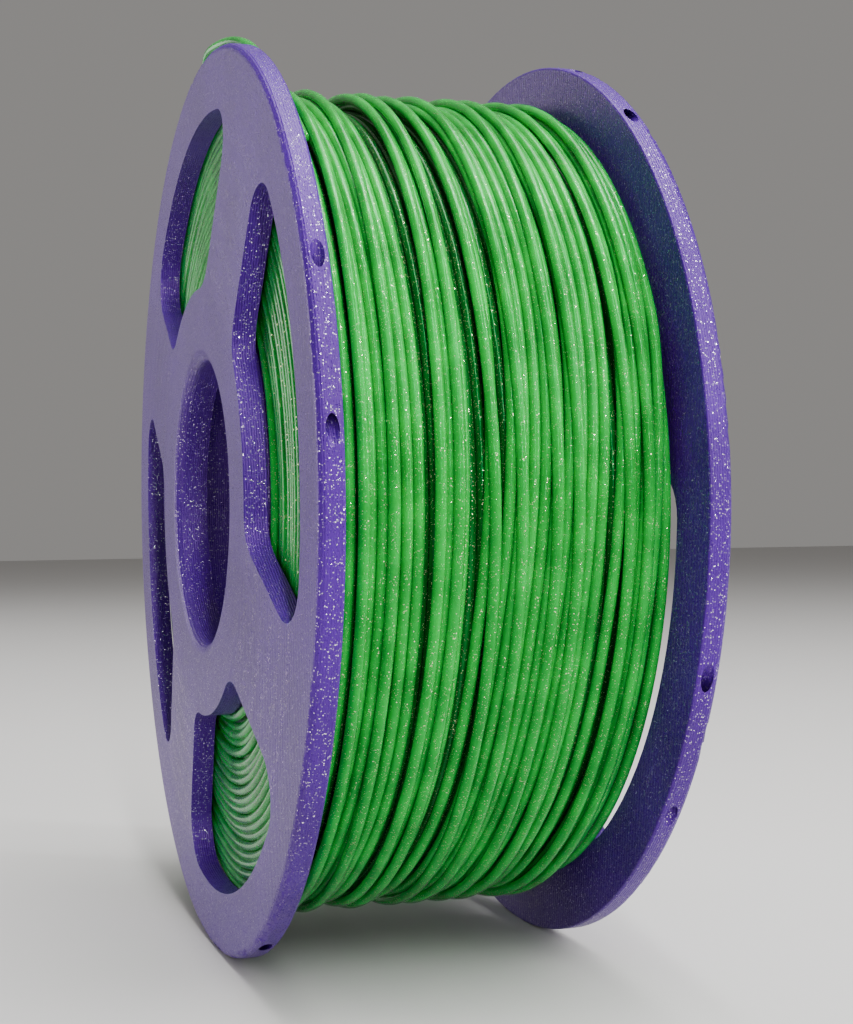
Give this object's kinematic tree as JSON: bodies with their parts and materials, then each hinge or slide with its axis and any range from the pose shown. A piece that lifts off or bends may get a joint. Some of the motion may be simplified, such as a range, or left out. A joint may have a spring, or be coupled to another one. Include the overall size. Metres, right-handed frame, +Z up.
{
  "type": "filament spool",
  "caption": "Printed filament spool with windowed flanges, wide centre bore, hollow hub and wound filament; one flange pulls off along the axis.",
  "frame": {"origin": "centre of the bore, halfway between the two flanges", "axes": "+X along the spool's axis toward the flange that pulls off, +Z up as the spool stands on its rims, -Y toward the viewer"},
  "size_m": [0.064, 0.155, 0.1583],
  "materials": {
    "purple_print": "glitter-filled translucent purple print with fine layer lines",
    "purple_core": "the same purple print, in shade",
    "green_filament": "glossy translucent green filament with fine glitter"
  },
  "bodies": {
    "spool": {"left_flange": "purple_print", "hub_core": "purple_core", "filament_coil": "green_filament", "filament_tail": "green_filament"},
    "loose_flange": {"right_flange": "purple_print"}
  },
  "joints": [
    {"name": "flange_pull", "type": "slide", "parent": "spool", "child": "loose_flange", "axis": [1, 0, 0], "range_m": [0, 0.012]}
  ]
}
